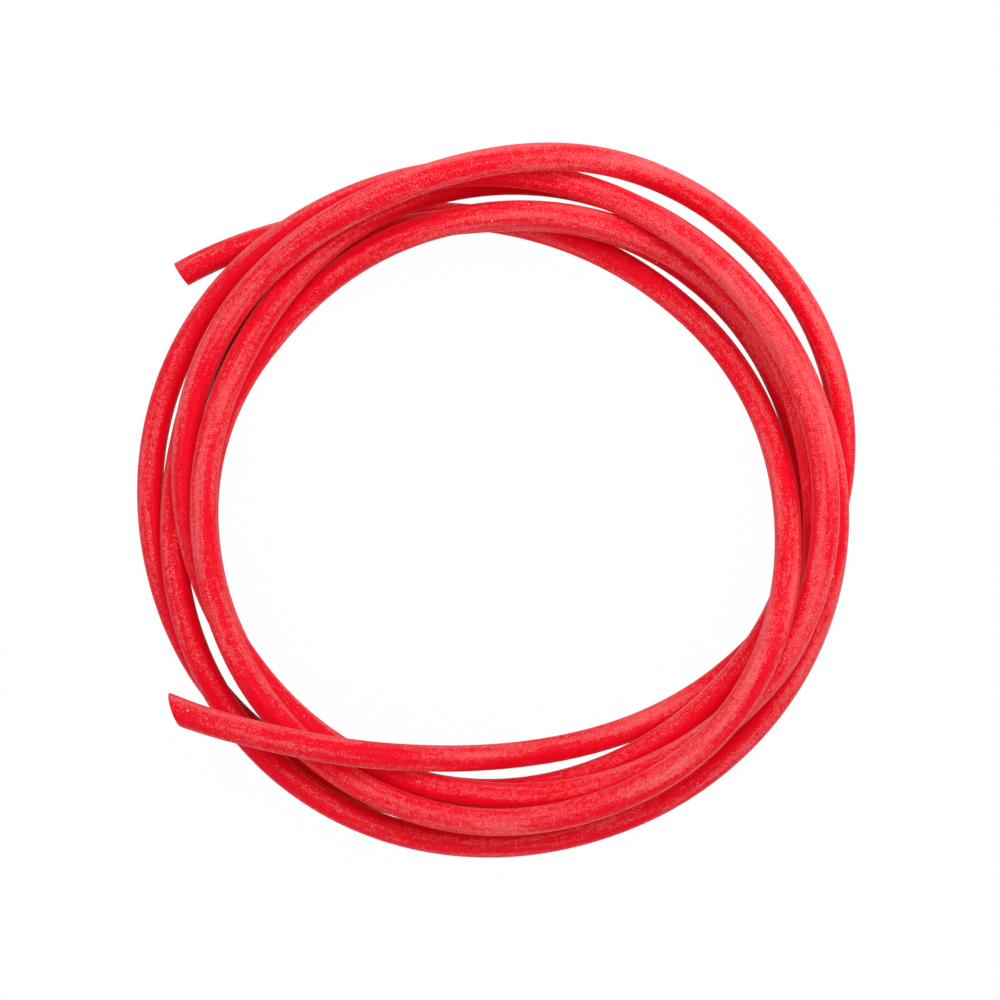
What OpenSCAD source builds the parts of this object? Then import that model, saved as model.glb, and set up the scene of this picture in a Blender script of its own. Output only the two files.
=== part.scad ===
// Red rubber vacuum tubing, wound loosely by hand into a coil of nearly six turns and laid flat.
// The origin is under the middle of the coil's outline, on the surface that the coil lies on.

/* [Tubing] */
// Outside diameter of the tubing
tube_od = 12; // [8:0.5:16]
// Diameter of the bore
bore_d = 4; // [2:0.5:8]

/* [Coil] */
// Radius of the widest turn, to the middle of the tubing
coil_r = 173.5; // [140:0.5:300]

/* [Ends] */
// How far the cut of the upper end is from square, in degrees
upper_cut = 36.5; // [0:0.5:45]
// How far the cut of the lower end is from square, in degrees
lower_cut = 7.5; // [0:0.5:45]
// Length of the straight round bore inside each end
socket_l = 20; // [10:1:24]

/* [Hidden] */

rubber_red = [0.93, 0.18, 0.26];

sides = 12;             // flats round the tubing, one of them underneath
pitch = 1.03 * tube_od; // from the middle of one turn to the middle of the next, where they touch
bore_fn = 48;
swept_bore = 0.95 * bore_d;   // corner to corner of the long bore, just inside its round mouths
step = 24;              // angle from one point of a turn to the next
first_angle = 240;
upper_angle = 212.8;    // where the upper end is cut
lower_angle = 2304.2;   // where the lower end is cut, six turns further on
lead = 9;               // angle of the straight length behind each cut
outline_mid = pitch * [-0.03, -0.33];   // middle of the outline, from the centre of the turns

// How far in from the widest turn the tubing lies, in pitches, one row for each turn
turn_inset = [
    // 240   264   288   312   336     0    24    48    72    96   120   144   168   192   216
    [3.65, 4.35, 4.30, 3.60, 2.45, 1.10, 0.25, 0.20, 1.10, 2.25, 2.40, 2.00, 2.20, 2.70, 3.00],
    [3.10, 3.15, 2.85, 2.50, 2.20, 2.20, 2.20, 2.35, 2.15, 2.05, 1.75, 0.95, 0.75, 0.90, 1.15],
    [1.75, 2.00, 2.05, 2.05, 1.90, 2.30, 2.30, 2.60, 3.20, 3.65, 3.65, 3.40, 3.05, 2.85, 2.70],
    [2.85, 3.00, 3.10, 3.20, 2.85, 2.40, 2.40, 2.60, 3.10, 3.50, 2.75, 1.95, 1.85, 1.70, 1.35],
    [1.15, 1.00, 1.05, 1.00, 1.10, 1.45, 1.55, 1.70, 1.70, 2.25, 2.65, 3.00, 3.20, 3.25, 2.90],
    [2.55, 2.30, 2.40, 2.60, 3.15, 3.35, 3.50, 3.80, 3.70, 3.10, 1.75]
];

// Height of the middle of the tubing, in pitches: 0.5 rests on the surface
turn_lift = [
    // 240   264   288   312   336     0    24    48    72    96   120   144   168   192   216
    [3.35, 1.15, 0.50, 0.50, 0.50, 0.50, 0.50, 0.80, 2.95, 4.35, 3.50, 1.95, 1.55, 1.65, 1.45],
    [1.50, 1.65, 1.75, 2.30, 3.05, 3.25, 2.85, 3.10, 2.55, 2.90, 2.70, 1.00, 0.50, 0.50, 0.50],
    [0.50, 0.50, 0.60, 0.70, 2.05, 2.20, 1.80, 1.70, 2.35, 2.65, 1.70, 0.50, 0.50, 0.55, 0.50],
    [0.50, 0.70, 0.65, 1.55, 1.50, 0.85, 0.50, 0.50, 1.35, 1.65, 0.95, 0.60, 0.50, 1.25, 1.50],
    [1.45, 0.70, 0.50, 0.50, 1.00, 1.70, 1.00, 1.00, 0.60, 1.90, 2.15, 1.55, 1.95, 2.55, 2.45],
    [2.35, 2.30, 2.75, 3.35, 3.75, 1.95, 0.60, 0.50, 0.50, 0.50, 0.50]
];

// The two points of each end: its inset and its height, from the upper cut on and up to the lower cut
upper_end = [[0.30, 3.35], [1.75, 3.40]];
lower_end = [[0.25, 0.50], [-0.80, 0.50]];

insets = concat(
    [for (p = upper_end) p[0]],
    [for (turn = turn_inset) each turn],
    [for (p = lower_end) p[0]]
);
lifts = concat(
    [for (p = upper_end) p[1]],
    [for (turn = turn_lift) each turn],
    [for (p = lower_end) p[1]]
);
last = len(insets) - 1;

// Height of the middle where a flat of the tubing lies on the surface
rest_z = tube_od / 2 * cos(180 / sides);

function angle(i) =
    i == 0 ? upper_angle :
    i == 1 ? upper_angle + lead :
    i == last - 1 ? lower_angle - lead :
    i == last ? lower_angle :
    first_angle + step * (i - 2);

function point(i) =
    let (
        r = coil_r - pitch * insets[i],
        z = rest_z + pitch * (lifts[i] - 0.5)
    )
    [r * cos(angle(i)) - outline_mid.x, r * sin(angle(i)) - outline_mid.y, z];

route = [for (i = [0 : last]) point(i)];

function unit(v) = v / norm(v);
function run(i) = unit(route[i + 1] - route[i]);
function turned(v, a) = [v.x * cos(a) - v.y * sin(a), v.x * sin(a) + v.y * cos(a), v.z];

// The plane of each ring halves the bend there, and at an end it is the cut
function normal(i) =
    i == 0 ? turned(run(0), upper_cut) :
    i == last ? turned(run(last - 1), lower_cut) :
    unit(run(i - 1) + run(i));

// One ring of corners, widened across the mitre so that each straight keeps its section
function ring(i, r) =
    let (
        n = normal(i),
        across = unit(cross([0, 0, 1], n)),
        up = cross(n, across),
        stretch = 1 / (n * run(min(i, last - 1)))
    )
    [for (k = [0 : sides - 1])
        let (a = (k + 0.5) * 360 / sides)
        route[i] + across * r * cos(a) * stretch + up * r * sin(a)];

// Faces between two neighbouring rings of a wall, whose first corner is number base
function wall(base, outward) =
    [for (i = [0 : last - 1], k = [0 : sides - 1])
        let (
            a = base + i * sides + k,
            b = base + i * sides + (k + 1) % sides
        )
        outward ? [a, a + sides, b + sides, b] : [a, b, b + sides, a + sides]];

// The two cut faces, each a band between the outside and the bore
function face(i, inner, upper) =
    [for (k = [0 : sides - 1])
        let (
            a = i * sides + k,
            b = i * sides + (k + 1) % sides
        )
        upper ? [a, b, b + inner, a + inner] : [a, a + inner, b + inner, b]];

module hose() {
    outer = [for (i = [0 : last]) each ring(i, tube_od / 2)];
    bore = [for (i = [0 : last]) each ring(i, swept_bore / 2)];
    inner = len(outer);
    polyhedron(
        points = concat(outer, bore),
        faces = concat(
            wall(0, true),
            wall(inner, false),
            face(0, inner, true),
            face(last, inner, false)
        )
    );
}

// The round mouth of the bore at one end, along the straight length behind the cut
module socket(origin, inward) {
    translate(origin - inward * bore_d)
        rotate([0, acos(inward.z), atan2(inward.y, inward.x)])
            cylinder(h = socket_l + bore_d, d = bore_d, $fn = bore_fn);
}

module tubing() {
    color(rubber_red)
        difference() {
            hose();
            socket(route[0], run(0));
            socket(route[last], -run(last - 1));
        }
}

tubing();
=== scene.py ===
import math

import bmesh
import bpy
import numpy as np
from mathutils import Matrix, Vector
from mathutils.bvhtree import BVHTree


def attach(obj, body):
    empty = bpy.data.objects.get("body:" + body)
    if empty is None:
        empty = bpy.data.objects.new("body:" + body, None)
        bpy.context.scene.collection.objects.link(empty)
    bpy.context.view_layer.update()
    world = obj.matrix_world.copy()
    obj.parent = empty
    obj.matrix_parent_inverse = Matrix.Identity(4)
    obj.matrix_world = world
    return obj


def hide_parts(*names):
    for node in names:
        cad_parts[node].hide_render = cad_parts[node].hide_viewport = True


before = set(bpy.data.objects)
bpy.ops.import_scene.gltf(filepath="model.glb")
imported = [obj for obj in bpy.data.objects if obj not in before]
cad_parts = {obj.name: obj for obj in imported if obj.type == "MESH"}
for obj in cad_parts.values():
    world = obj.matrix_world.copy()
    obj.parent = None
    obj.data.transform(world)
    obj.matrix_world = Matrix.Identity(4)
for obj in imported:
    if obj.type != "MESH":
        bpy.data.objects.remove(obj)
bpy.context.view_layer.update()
print("frame loaded:", len(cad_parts), "node")

# lengths in metres, angles in degrees

hose = {
    "outside": 0.012,
    "bore": 0.004,
    "pitch": 0.01236,        # middle to middle where two turns touch
    "widestTurn": 0.1735,    # radius of the widest turn, to the middle of the hose
    "outlineMid": (-0.03, -0.33),  # in pitches, from the centre of the turns
    "upperAngle": 212.8,
    "lowerAngle": 2304.2,
    "lead": 9.0,             # angle of the straight length behind each cut
    "firstAngle": 240.0,
    "step": 24.0,
    "upperCut": 41.0,        # how far from square the knife went
    "lowerCut": 3.3,
    "lean": 0.020,           # length over which the rings lean towards the cut
    "ringGap": 0.004,
    "fineStep": 0.1,         # between the points that the even rings are measured from
    "flats": 32,
    "boreFlats": 16,
    "rimRound": 0.00025,
    "rimSteps": 2,
    "uneven": 0.00005,       # how far the moulded skin rises and falls
    "unevenSize": 70.0,      # more is finer
    "unevenDetail": 2.0,
}

# how far in from the widest turn, in pitches, one row for each turn
turnInset = [
    # 240   264   288   312   336     0    24    48    72    96   120   144   168   192   216
    [3.65, 4.35, 4.30, 3.60, 2.45, 1.10, 0.25, 0.20, 1.10, 2.25, 2.40, 2.00, 2.20, 2.70, 3.00],
    [3.10, 3.15, 2.85, 2.50, 2.20, 2.20, 2.20, 2.35, 2.15, 2.05, 1.75, 0.95, 0.75, 0.90, 1.15],
    [1.75, 2.00, 2.05, 2.05, 1.90, 2.30, 2.30, 2.60, 3.20, 3.65, 3.65, 3.40, 3.05, 2.85, 2.70],
    [2.85, 3.00, 3.10, 3.20, 2.85, 2.40, 2.40, 2.60, 3.10, 3.50, 2.75, 1.95, 1.85, 1.70, 1.35],
    [1.15, 1.00, 1.05, 1.00, 1.10, 1.45, 1.55, 1.70, 1.70, 2.25, 2.65, 3.00, 3.20, 3.25, 2.90],
    [2.55, 2.30, 2.40, 2.60, 3.15, 3.35, 3.50, 3.80, 3.70, 3.10, 1.75],
]

# height of the middle of the hose, in pitches, 0.5 on the floor
turnLift = [
    # 240   264   288   312   336     0    24    48    72    96   120   144   168   192   216
    [3.35, 1.15, 0.50, 0.50, 0.50, 0.50, 0.50, 0.80, 2.95, 4.35, 3.50, 1.95, 1.55, 1.65, 1.45],
    [1.50, 1.65, 1.75, 2.30, 3.05, 3.25, 2.85, 3.10, 2.55, 2.90, 2.70, 1.00, 0.50, 0.50, 0.50],
    [0.50, 0.50, 0.60, 0.70, 2.05, 2.20, 1.80, 1.70, 2.35, 2.65, 1.70, 0.50, 0.50, 0.55, 0.50],
    [0.50, 0.70, 0.65, 1.55, 1.50, 0.85, 0.50, 0.50, 1.35, 1.65, 0.95, 0.60, 0.50, 1.25, 1.50],
    [1.45, 0.70, 0.50, 0.50, 1.00, 1.70, 1.00, 1.00, 0.60, 1.90, 2.15, 1.55, 1.95, 2.55, 2.45],
    [2.35, 2.30, 2.75, 3.35, 3.75, 1.95, 0.60, 0.50, 0.50, 0.50, 0.50],
]

# the two points of each end: inset and height, from the upper cut on and up to the lower cut
upperEnd = [(0.30, 3.35), (1.75, 3.40)]
lowerEnd = [(0.25, 0.50), (-0.80, 0.50)]


# a smooth curve through the values, straight at its two ends
def naturalSpline(knots, values):
    gaps = np.diff(knots)
    slopes = np.diff(values) / gaps
    count = len(knots)
    system = np.eye(count)
    right = np.zeros(count)
    for i in range(1, count - 1):
        system[i, i - 1:i + 2] = gaps[i - 1], 2 * (gaps[i - 1] + gaps[i]), gaps[i]
        right[i] = 6 * (slopes[i] - slopes[i - 1])
    bends = np.linalg.solve(system, right)

    def at(angles):
        i = np.clip(np.searchsorted(knots, angles, side="right") - 1, 0, count - 2)
        before, after = knots[i + 1] - angles, angles - knots[i]
        gap = gaps[i]
        return (
            (bends[i] * before ** 3 + bends[i + 1] * after ** 3) / (6 * gap)
            + (values[i] / gap - bends[i] * gap / 6) * before
            + (values[i + 1] / gap - bends[i + 1] * gap / 6) * after
        )

    return at


# even points along the middle of the hose, from the upper cut to the lower one
def centreLine():
    insets = [p[0] for p in upperEnd] + [v for row in turnInset for v in row] + [p[0] for p in lowerEnd]
    lifts = [p[1] for p in upperEnd] + [v for row in turnLift for v in row] + [p[1] for p in lowerEnd]
    between = [hose["firstAngle"] + hose["step"] * i for i in range(len(insets) - 4)]
    angles = np.array(
        [hose["upperAngle"], hose["upperAngle"] + hose["lead"]]
        + between
        + [hose["lowerAngle"] - hose["lead"], hose["lowerAngle"]]
    )
    radii = hose["widestTurn"] - hose["pitch"] * np.array(insets)
    heights = hose["outside"] / 2 + hose["pitch"] * (np.array(lifts) - 0.5)
    radiusAt, heightAt = naturalSpline(angles, radii), naturalSpline(angles, heights)

    fine = np.arange(angles[0], angles[-1], hose["fineStep"])
    fine = np.append(fine, angles[-1])
    turn, reach = np.radians(fine), radiusAt(fine)
    mid = hose["pitch"] * np.array(hose["outlineMid"])
    line = np.column_stack([
        reach * np.cos(turn) - mid[0],
        reach * np.sin(turn) - mid[1],
        np.maximum(heightAt(fine), hose["outside"] / 2),
    ])
    travelled = np.concatenate([[0], np.cumsum(np.linalg.norm(np.diff(line, axis=0), axis=1))])
    steps = round(travelled[-1] / hose["ringGap"])
    even = np.linspace(0, travelled[-1], steps + 1)
    return np.column_stack([np.interp(even, travelled, line[:, k]) for k in range(3)]), travelled[-1]


# a node with its settings, and its inputs linked or filled by name
def addNode(tree, kind, settings=None, **links):
    node = tree.nodes.new(kind)
    for name, value in (settings or {}).items():
        setattr(node, name, value)
    for name, value in links.items():
        key = int(name[1:]) if name[0] == "_" and name[1:].isdigit() else name.replace("_", " ")
        socket = node.inputs[key]
        if isinstance(value, bpy.types.NodeSocket):
            tree.links.new(value, socket)
        else:
            socket.default_value = value
    return node


def mathNode(tree, operation, *values):
    numbered = {"_%d" % i: value for i, value in enumerate(values)}
    return addNode(tree, "ShaderNodeMath", {"operation": operation}, **numbered).outputs[0]


def vectorNode(tree, operation, *values):
    node = addNode(tree, "ShaderNodeVectorMath", {"operation": operation})
    for i, value in enumerate(values):
        socket = node.inputs["Scale"] if operation == "SCALE" and i == 1 else node.inputs[i]
        if isinstance(value, bpy.types.NodeSocket):
            tree.links.new(value, socket)
        else:
            socket.default_value = value
    return node.outputs["Value"] if operation == "DOT_PRODUCT" else node.outputs["Vector"]


# keeps a value on the points under a name
def storeValue(tree, geometry, name, kind, value):
    node = tree.nodes.new("GeometryNodeStoreNamedAttribute")
    node.data_type = kind
    node.domain = "POINT"
    tree.links.new(geometry, node.inputs["Geometry"])
    node.inputs["Name"].default_value = name
    tree.links.new(value, node.inputs["Value"])
    return node.outputs["Geometry"]


def readValue(tree, name, kind):
    node = tree.nodes.new("GeometryNodeInputNamedAttribute")
    node.data_type = kind
    node.inputs["Name"].default_value = name
    return node.outputs["Attribute"]


# sweeps the outside and the bore along a line, and leans the rings at each end to the cut
def sweepTree(skin):
    tree = bpy.data.node_groups.new("hoseSweep", "GeometryNodeTree")
    face = tree.interface
    face.new_socket("Line", in_out="INPUT", socket_type="NodeSocketGeometry")
    for name, kind in [
        ("Outside", "NodeSocketFloat"),
        ("Bore", "NodeSocketFloat"),
        ("Flats", "NodeSocketInt"),
        ("Bore Flats", "NodeSocketInt"),
        ("Upper Cut", "NodeSocketFloat"),
        ("Lower Cut", "NodeSocketFloat"),
        ("Lean", "NodeSocketFloat"),
        ("Uneven", "NodeSocketFloat"),
        ("Uneven Size", "NodeSocketFloat"),
    ]:
        face.new_socket(name, in_out="INPUT", socket_type=kind)
    face.new_socket("Hose", in_out="OUTPUT", socket_type="NodeSocketGeometry")
    given = tree.nodes.new("NodeGroupInput").outputs
    result = tree.nodes.new("NodeGroupOutput")

    upright = addNode(
        tree, "GeometryNodeSetCurveNormal", {"mode": "Z_UP"}, Curve=given["Line"]
    ).outputs[0]
    place = tree.nodes.new("GeometryNodeInputPosition").outputs[0]
    heading = tree.nodes.new("GeometryNodeInputTangent").outputs[0]
    travelled = tree.nodes.new("GeometryNodeSplineParameter").outputs["Length"]
    whole = tree.nodes.new("GeometryNodeSplineLength").outputs["Length"]
    line = storeValue(tree, upright, "middle", "FLOAT_VECTOR", place)
    line = storeValue(tree, line, "heading", "FLOAT_VECTOR", heading)
    line = storeValue(tree, line, "fromUpper", "FLOAT", travelled)
    line = storeValue(tree, line, "fromLower", "FLOAT", mathNode(tree, "SUBTRACT", whole, travelled))

    def wall(width, flats):
        ring = addNode(
            tree, "GeometryNodeCurvePrimitiveCircle", {"mode": "RADIUS"},
            Resolution=flats, Radius=mathNode(tree, "MULTIPLY", width, 0.5),
        )
        swept = addNode(
            tree, "GeometryNodeCurveToMesh", Curve=line, Profile_Curve=ring.outputs["Curve"]
        )
        return swept.outputs[0]

    outer = wall(given["Outside"], given["Flats"])
    inner = wall(given["Bore"], given["Bore Flats"])

    # a slow rise and fall of the skin, outside only
    lumps = addNode(
        tree, "ShaderNodeTexNoise", {"noise_dimensions": "3D"},
        Vector=place, Scale=given["Uneven Size"], Detail=hose["unevenDetail"], Roughness=0.5,
    ).outputs[0]
    about = mathNode(tree, "MULTIPLY", mathNode(tree, "SUBTRACT", lumps, 0.5), 2.0)
    rise = mathNode(tree, "MULTIPLY", about, given["Uneven"])
    normal = tree.nodes.new("GeometryNodeInputNormal").outputs[0]
    outer = addNode(
        tree, "GeometryNodeSetPosition", Geometry=outer, Offset=vectorNode(tree, "SCALE", normal, rise)
    ).outputs[0]

    inner = addNode(tree, "GeometryNodeFlipFaces", Mesh=inner).outputs[0]
    joined = tree.nodes.new("GeometryNodeJoinGeometry")
    tree.links.new(outer, joined.inputs[0])
    tree.links.new(inner, joined.inputs[0])

    # each point slides along the hose by as much as the cut leans on its side
    along = readValue(tree, "heading", "FLOAT_VECTOR")
    middle = readValue(tree, "middle", "FLOAT_VECTOR")
    off = vectorNode(tree, "SUBTRACT", place, middle)
    leftward = vectorNode(tree, "CROSS_PRODUCT", (0.0, 0.0, 1.0), along)
    side = vectorNode(tree, "DOT_PRODUCT", off, vectorNode(tree, "NORMALIZE", leftward))
    lean = None
    for name, cut in [("fromUpper", "Upper Cut"), ("fromLower", "Lower Cut")]:
        near = mathNode(tree, "DIVIDE", readValue(tree, name, "FLOAT"), given["Lean"])
        share = mathNode(tree, "MAXIMUM", mathNode(tree, "SUBTRACT", 1.0, near), 0.0)
        part = mathNode(tree, "MULTIPLY", share, mathNode(tree, "TANGENT", given[cut]))
        lean = part if lean is None else mathNode(tree, "ADD", lean, part)
    slide = mathNode(tree, "MULTIPLY", mathNode(tree, "MULTIPLY", side, lean), -1.0)
    leaned = addNode(
        tree, "GeometryNodeSetPosition",
        Geometry=joined.outputs[0], Offset=vectorNode(tree, "SCALE", along, slide),
    ).outputs[0]

    # where a point lies on the hose: along it, to its left and up
    upward = vectorNode(tree, "DOT_PRODUCT", off, (0.0, 0.0, 1.0))
    onHose = addNode(
        tree, "ShaderNodeCombineXYZ", X=readValue(tree, "fromUpper", "FLOAT"), Y=side, Z=upward
    ).outputs[0]
    marked = storeValue(tree, leaned, "onHose", "FLOAT_VECTOR", onHose)

    smooth = addNode(tree, "GeometryNodeSetShadeSmooth", Geometry=marked).outputs[0]
    solid = addNode(tree, "GeometryNodeRealizeInstances", Geometry=smooth).outputs[0]
    dressed = addNode(tree, "GeometryNodeSetMaterial", Geometry=solid, Material=skin).outputs[0]
    tree.links.new(dressed, result.inputs["Hose"])
    return tree


# the hose as a plain mesh: a line, the sweep, and the sweep's result
def sweepHose(points, skin):
    line = bpy.data.curves.new("hoseLine", "CURVE")
    line.dimensions = "3D"
    spline = line.splines.new("POLY")
    spline.points.add(len(points) - 1)
    spline.points.foreach_set("co", np.column_stack([points, np.ones(len(points))]).ravel())
    carrier = bpy.data.objects.new("hoseLine", line)
    bpy.context.collection.objects.link(carrier)

    tree = sweepTree(skin)
    modifier = carrier.modifiers.new("sweep", "NODES")
    modifier.node_group = tree
    values = {
        "Outside": hose["outside"],
        "Bore": hose["bore"],
        "Flats": hose["flats"],
        "Bore Flats": hose["boreFlats"],
        "Upper Cut": math.radians(hose["upperCut"]),
        "Lower Cut": math.radians(hose["lowerCut"]),
        "Lean": hose["lean"],
        "Uneven": hose["uneven"],
        "Uneven Size": hose["unevenSize"],
    }
    for item in tree.interface.items_tree:
        if item.item_type == "SOCKET" and item.in_out == "INPUT" and item.name in values:
            modifier[item.identifier] = values[item.name]

    swept = carrier.evaluated_get(bpy.context.evaluated_depsgraph_get())
    mesh = bpy.data.meshes.new_from_object(swept)
    bpy.data.objects.remove(carrier)
    bpy.data.curves.remove(line)
    mesh.name = "hose"
    return mesh


# how much of the air round it each point of the skin sees, for painted shade where other turns crowd it,
# and which way it faces and where it lies on the coil, for painted light on the lamp's side
def markShadeAndLitSide(mesh, ringCount):
    count = ringCount * hose["flats"]
    bored = len(mesh.vertices) - count      # the bore's points come first
    places = np.empty(len(mesh.vertices) * 3)
    normals = np.empty(len(mesh.vertices) * 3)
    mesh.vertices.foreach_get("co", places)
    mesh.vertex_normals.foreach_get("vector", normals)
    places, normals = places.reshape(-1, 3), normals.reshape(-1, 3)
    walls = BVHTree.FromPolygons(places.tolist(), [tuple(face.vertices) for face in mesh.polygons])

    order = np.arange(talc["rays"]) + 0.5
    tilt, turn = np.sqrt(order / talc["rays"]), order * math.radians(talc["spiral"])
    fan = np.column_stack([tilt * np.cos(turn), tilt * np.sin(turn), np.sqrt(1 - tilt ** 2)])
    out = normals[bored:]
    side = np.cross(out, np.where(np.abs(out[:, 2:]) < 0.9, (0.0, 0.0, 1.0), (1.0, 0.0, 0.0)))
    side /= np.linalg.norm(side, axis=1)[:, None]
    ways = np.einsum("rk,kvc->vrc", fan, np.stack([side, np.cross(out, side), out]))

    seen = np.zeros(count)
    starts = places[bored:] + out * talc["lift"]
    for i, (start, bundle) in enumerate(zip(starts.tolist(), ways.tolist())):
        seen[i] = sum(walls.ray_cast(start, way, talc["reach"])[0] is None for way in bundle)
    rings = (seen / talc["rays"]).reshape(ringCount, -1)
    half = talc["ringMean"] // 2
    ends = np.concatenate([rings[:1]] * half + [rings] + [rings[-1:]] * half)
    smooth = sum(ends[k:k + ringCount] for k in range(talc["ringMean"])) / talc["ringMean"]
    # painted light: paler on the side that faces the lamp, and paler towards the lamp's side of the coil
    paintedLitSide = out @ np.array(talc["litSideFrom"]) + places[bored:] @ np.array(talc["litSlope"])
    for name, values in [("open", smooth.ravel()), ("paintedLitSide", paintedLitSide)]:
        layer = mesh.attributes.new(name, "FLOAT", "POINT")
        layer.data.foreach_set("value", np.concatenate([np.zeros(bored), values]))


# joins the outside to the bore across each cut, and rounds the rims a little
def closeCuts(mesh, points):
    shape = bmesh.new()
    shape.from_mesh(mesh)
    rims = []
    for end in (Vector(points[0]), Vector(points[-1])):
        rim = [
            edge for edge in shape.edges
            if edge.is_boundary and (edge.verts[0].co - end).length < hose["outside"]
        ]
        across = bmesh.ops.bridge_loops(shape, edges=rim)
        for cutFace in across["faces"]:
            cutFace.material_index = 1      # the bare rubber
            cutFace.smooth = False
        rims += rim
    bmesh.ops.bevel(
        shape, geom=[edge for edge in rims if edge.is_valid], offset=hose["rimRound"],
        segments=hose["rimSteps"], profile=0.5, affect="EDGES", clamp_overlap=True,
    )
    bmesh.ops.recalc_face_normals(shape, faces=shape.faces)
    shape.to_mesh(mesh)
    shape.free()


talc = {
    "rays": 26,
    "reach": 0.022,          # a turn that passes nearer than this shades the skin
    "lift": 0.0003,          # where the rays start, above the skin
    "spiral": 137.508,       # angle from one ray to the next
    "ringMean": 5,           # rings that a value is evened over, an odd number
    "grain": 1800.0,         # single grains, then clumps of them, fine streaks and broad bands
    "clump": 420.0,
    "streak": 850.0,
    "band": 210.0,
    "noiseRough": 0.55,
    "grainRough": 0.6,
    "drawnOut": 0.07,        # how much streaks and bands are drawn out along the hose
    "weights": (1.2, 1.2, 2.4),  # how far clumps, streaks and bands move the film, from 0 to 1
    "level": 0.17,           # film on wholly open skin
    "shadeGain": 1.05,        # painted shade: how much of the pale film is taken away where other turns crowd the skin
    "litSideFrom": (-0.06, 0.19, 0.0),  # painted light: the side of each turn made paler, towards the lamp
    "litSlope": (0.80, 0.50, 0.0),  # painted light: paler towards this side of the coil, per metre
    "grainFrom": 0.54,       # how high the noise is where a grain begins, and where it is full
    "grainFull": 0.72,
    "grainShow": 0.75,       # how much of a full grain shows
    "grainThin": -0.40,      # the film below which no grain lies, and above which all of them do
    "grainThick": 0.20,
    "crumbGrid": 60.0,       # cells in a metre, with one crumb in each
    "crumbSize": 0.022,      # its radius, as a share of a cell
}

rubber = {
    "red": (0.92, 0.0004, 0.020, 1.0),
    "paleTalcAndLight": (1.0, 0.125, 0.14, 1.0),  # the red where the film is thickest, as talc and as painted light
    "grain": (1.0, 0.34, 0.33, 1.0),  # single grains, and the rare crumb
    "crumb": (0.96, 0.72, 0.70, 1.0),
    "cutRed": (0.70, 0.004, 0.014, 1.0),
    "cutPale": (0.90, 0.020, 0.035, 1.0),
    "roughClean": 0.50,
    "roughDusty": 0.85,
    "grainHeight": 0.00032,
    "grainRelief": 0.7,      # strength of the relief that grains and clumps make
    "skin": {
        "Specular IOR Level": 0.08,
        "Sheen Weight": 0.15,
        "Sheen Roughness": 0.40,
        "Sheen Tint": (1.0, 0.85, 0.85, 1.0),
        "Subsurface Weight": 0.6,
        "Subsurface Radius": (1.0, 0.03, 0.05),
        "Subsurface Scale": 0.004,
    },
    "ribs": 520.0,           # the knife's marks on a cut, drawn out flat
    "ribsDrawn": (1.0, 1.0, 9.0),
    "ribDetail": 3.0,
    "ribHeight": 0.00008,
    "ribRelief": 0.5,
    "cutFace": {"Roughness": 0.6, "Specular IOR Level": 0.25},
}


def addUp(tree, values):
    total = values[0]
    for value in values[1:]:
        total = mathNode(tree, "ADD", total, value)
    return total


def clampedRange(tree, value, low, high, toLow=0.0, toHigh=1.0):
    node = addNode(tree, "ShaderNodeMapRange", {"clamp": True}, Value=value)
    for name, number in {"From Min": low, "From Max": high, "To Min": toLow, "To Max": toHigh}.items():
        node.inputs[name].default_value = number
    return node.outputs[0]


# a noise of one scale, spread about nought
def evenNoise(tree, where, scale, detail, weight):
    noise = addNode(
        tree, "ShaderNodeTexNoise", Vector=where, Scale=scale, Detail=detail, Roughness=talc["noiseRough"]
    ).outputs[0]
    return mathNode(tree, "MULTIPLY", mathNode(tree, "SUBTRACT", noise, 0.5), weight)


def mixColour(tree, share, under, over):
    mixed = addNode(tree, "ShaderNodeMix", {"data_type": "RGBA"}, _0=share, _6=under, _7=over)
    return mixed.outputs[2]


# values that are the same all over a material
def setShader(shader, values):
    for name, value in values.items():
        shader.inputs[name].default_value = value
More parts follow.
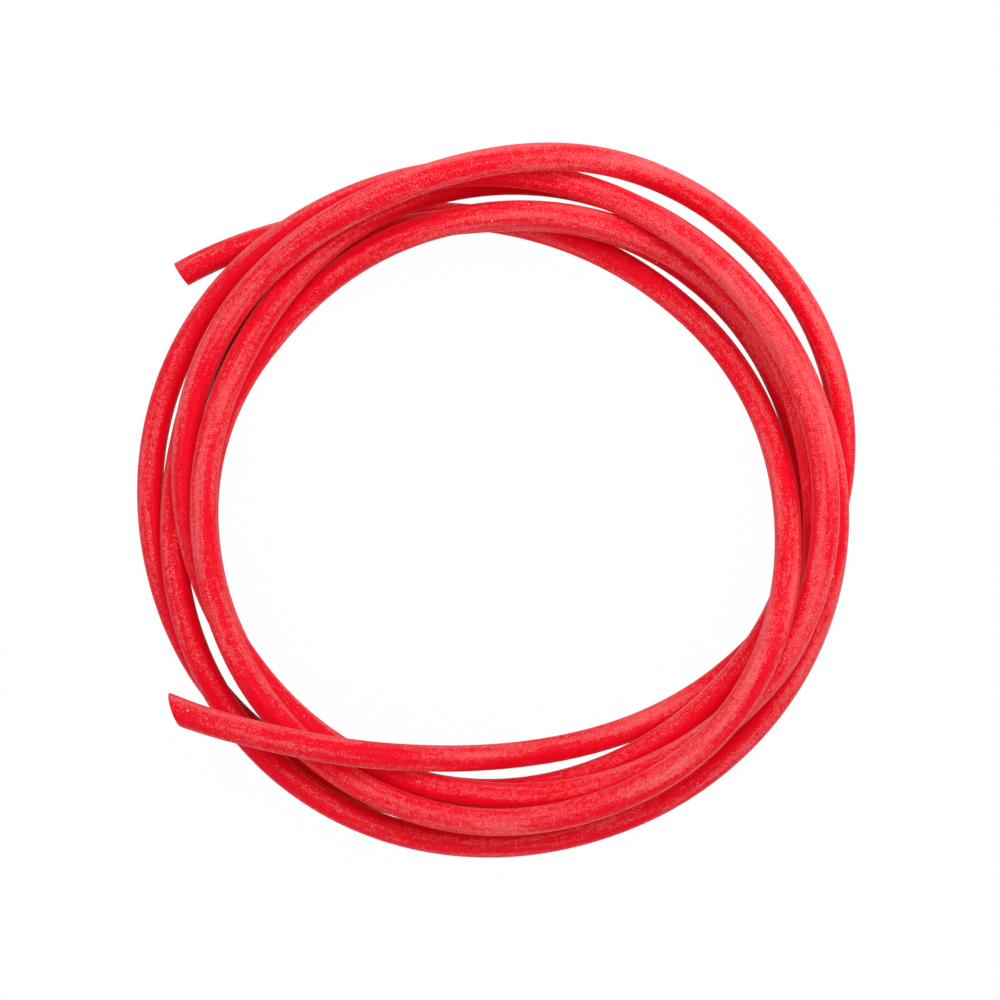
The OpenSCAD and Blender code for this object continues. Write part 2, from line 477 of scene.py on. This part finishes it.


# red rubber under a thin film of talc, with painted shade where other turns crowd the skin and painted
# light on the lamp's side
def talcAndLightRubber():
    material = bpy.data.materials.new("talcAndLightRubber")
    material.use_nodes = True
    tree = material.node_tree
    shader = tree.nodes["Principled BSDF"]
    spot = tree.nodes.new("ShaderNodeTexCoord").outputs["Object"]
    lay = addNode(tree, "ShaderNodeAttribute", {"attribute_name": "onHose"}).outputs["Vector"]
    openAir = addNode(tree, "ShaderNodeAttribute", {"attribute_name": "open"}).outputs["Fac"]
    drawn = vectorNode(tree, "MULTIPLY", lay, (talc["drawnOut"], 1.0, 1.0))

    clumpWeight, streakWeight, bandWeight = talc["weights"]
    grain = addNode(
        tree, "ShaderNodeTexNoise",
        Vector=spot, Scale=talc["grain"], Detail=1.0, Roughness=talc["grainRough"],
    ).outputs[0]
    clump = evenNoise(tree, spot, talc["clump"], 2.0, clumpWeight)
    streak = evenNoise(tree, drawn, talc["streak"], 2.0, streakWeight)
    band = evenNoise(tree, drawn, talc["band"], 1.0, bandWeight)
    # painted shade where other turns crowd the skin, and painted light on the lamp's side of each turn
    # and of the coil, added to the talc
    paintedShade = mathNode(tree, "MULTIPLY", mathNode(tree, "SUBTRACT", openAir, 1.0), talc["shadeGain"])
    paintedLitSide = addNode(tree, "ShaderNodeAttribute", {"attribute_name": "paintedLitSide"}).outputs["Fac"]
    talcAndLight = addUp(tree, [talc["level"], paintedShade, paintedLitSide, clump, streak, band])
    dots = clampedRange(tree, grain, talc["grainFrom"], talc["grainFull"], 0.0, talc["grainShow"])
    dots = mathNode(
        tree, "MULTIPLY", dots, clampedRange(tree, talcAndLight, talc["grainThin"], talc["grainThick"])
    )
    talcAndLight = clampedRange(tree, talcAndLight, 0.0, 1.0)
    talcedAndLit = mixColour(tree, talcAndLight, rubber["red"], rubber["paleTalcAndLight"])
    dusted = mixColour(tree, dots, talcedAndLit, rubber["grain"])

    # here and there a crumb of talc
    cells = addNode(tree, "ShaderNodeTexVoronoi", Vector=spot, Scale=talc["crumbGrid"])
    crumb = mathNode(tree, "LESS_THAN", cells.outputs["Distance"], talc["crumbSize"])
    tree.links.new(mixColour(tree, crumb, dusted, rubber["crumb"]), shader.inputs["Base Color"])

    rough = clampedRange(tree, talcAndLight, 0.0, 1.0, rubber["roughClean"], rubber["roughDusty"])
    tree.links.new(rough, shader.inputs["Roughness"])
    relief = mathNode(tree, "ADD", grain, mathNode(tree, "DIVIDE", clump, clumpWeight))
    bump = addNode(
        tree, "ShaderNodeBump",
        Strength=rubber["grainRelief"], Distance=rubber["grainHeight"], Height=relief,
    )
    tree.links.new(bump.outputs[0], shader.inputs["Normal"])
    setShader(shader, rubber["skin"])
    return material


# the bare rubber of a cut face, ribbed by the knife
def cutRubber():
    material = bpy.data.materials.new("cutRubber")
    material.use_nodes = True
    tree = material.node_tree
    shader = tree.nodes["Principled BSDF"]
    spot = tree.nodes.new("ShaderNodeTexCoord").outputs["Object"]
    drawn = vectorNode(tree, "MULTIPLY", spot, rubber["ribsDrawn"])
    ribs = addNode(
        tree, "ShaderNodeTexNoise", Vector=drawn, Scale=rubber["ribs"], Detail=rubber["ribDetail"]
    ).outputs[0]
    colour = mixColour(tree, ribs, rubber["cutRed"], rubber["cutPale"])
    tree.links.new(colour, shader.inputs["Base Color"])
    bump = addNode(
        tree, "ShaderNodeBump", Strength=rubber["ribRelief"], Distance=rubber["ribHeight"], Height=ribs
    )
    tree.links.new(bump.outputs[0], shader.inputs["Normal"])
    setShader(shader, rubber["cutFace"])
    return material


studio = {
    "cameraHeight": 0.6,
    "framed": 1000 / 2100,       # metres of floor across the photograph
    "cameraOff": (0.00143, 0.00095),  # from the centre of the turns
    "sensor": 36.0,
    "sky": 0.69,             # the light that it sheds, where plain white is 1
    "keyPower": 2.0,
    "keySize": 0.5,
    "keyPlace": (0.18, 0.30, 0.62),
    "floorTone": 0.80,
    "floorHalf": 3.0,
    "floorGlow": 0.99,           # share of the floor that shows as plain white
}


def makeCamera():
    lens = studio["sensor"] / 2 / (studio["framed"] / 2 / studio["cameraHeight"])
    data = bpy.data.cameras.new("camera")
    data.sensor_width = studio["sensor"]
    data.lens = lens
    camera = bpy.data.objects.new("camera", data)
    mid = [hose["pitch"] * v for v in hose["outlineMid"]]
    camera.location = (
        studio["cameraOff"][0] - mid[0],
        studio["cameraOff"][1] - mid[1],
        studio["cameraHeight"],
    )
    bpy.context.collection.objects.link(camera)
    bpy.context.scene.camera = camera


# 1 where the camera, a reflection or a clear body looks, and 0 where a matt surface gathers its light
def whereSeen(tree):
    rays = tree.nodes.new("ShaderNodeLightPath").outputs
    mirrored = mathNode(tree, "MAXIMUM", rays["Is Glossy Ray"], rays["Is Transmission Ray"])
    return mathNode(tree, "MAXIMUM", rays["Is Camera Ray"], mirrored)


# a white floor, a white sky and one broad soft lamp
def makeStudio():
    world = bpy.data.worlds.new("studio")
    bpy.context.scene.world = world
    world.use_nodes = True
    sky = world.node_tree.nodes["Background"]
    whiter = mathNode(world.node_tree, "MULTIPLY", whereSeen(world.node_tree), 1.0 - studio["sky"])
    strength = mathNode(world.node_tree, "ADD", whiter, studio["sky"])
    sky.inputs["Color"].default_value = (1.0, 1.0, 1.0, 1.0)
    world.node_tree.links.new(strength, sky.inputs["Strength"])

    white = bpy.data.materials.new("paperWhite")
    white.use_nodes = True
    tree = white.node_tree
    tree.nodes.clear()
    tone = studio["floorTone"]
    matt = addNode(tree, "ShaderNodeBsdfDiffuse", Color=(tone, tone, tone, 1.0))
    glow = addNode(tree, "ShaderNodeEmission", Strength=1.0)
    share = mathNode(tree, "MULTIPLY", whereSeen(tree), studio["floorGlow"])
    mix = addNode(tree, "ShaderNodeMixShader", _0=share, _1=matt.outputs[0], _2=glow.outputs[0])
    out = tree.nodes.new("ShaderNodeOutputMaterial")
    tree.links.new(mix.outputs[0], out.inputs["Surface"])

    ground = bpy.data.meshes.new("floor")
    half = studio["floorHalf"]
    corners = [(-half, -half, 0), (half, -half, 0), (half, half, 0), (-half, half, 0)]
    ground.from_pydata(corners, [], [(0, 1, 2, 3)])
    floor = bpy.data.objects.new("floor", ground)
    ground.materials.append(white)
    bpy.context.collection.objects.link(floor)

    lamp = bpy.data.lights.new("softKey", "AREA")
    lamp.shape = "DISK"
    lamp.size = studio["keySize"]
    lamp.energy = studio["keyPower"]
    key = bpy.data.objects.new("softKey", lamp)
    key.location = studio["keyPlace"]
    key.rotation_euler = (-Vector(studio["keyPlace"])).to_track_quat("-Z", "Y").to_euler()
    bpy.context.collection.objects.link(key)
    bpy.context.scene.view_settings.view_transform = "Standard"


makeCamera()
linePoints, lineLength = centreLine()
print("route: %d rings, %.3f m" % (len(linePoints), lineLength))

skin, cut = talcAndLightRubber(), cutRubber()
hoseMesh = sweepHose(linePoints, skin)
hoseMesh.materials.clear()
hoseMesh.materials.append(skin)
hoseMesh.materials.append(cut)
markShadeAndLitSide(hoseMesh, len(linePoints))
print("open skin marked")
closeCuts(hoseMesh, linePoints)
hosePiece = bpy.data.objects.new("rubberHose", hoseMesh)
bpy.context.collection.objects.link(hosePiece)
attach(hosePiece, "root")
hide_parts("tubing")
print("hose made: %d faces" % len(hoseMesh.polygons))

makeStudio()
print("studio made")
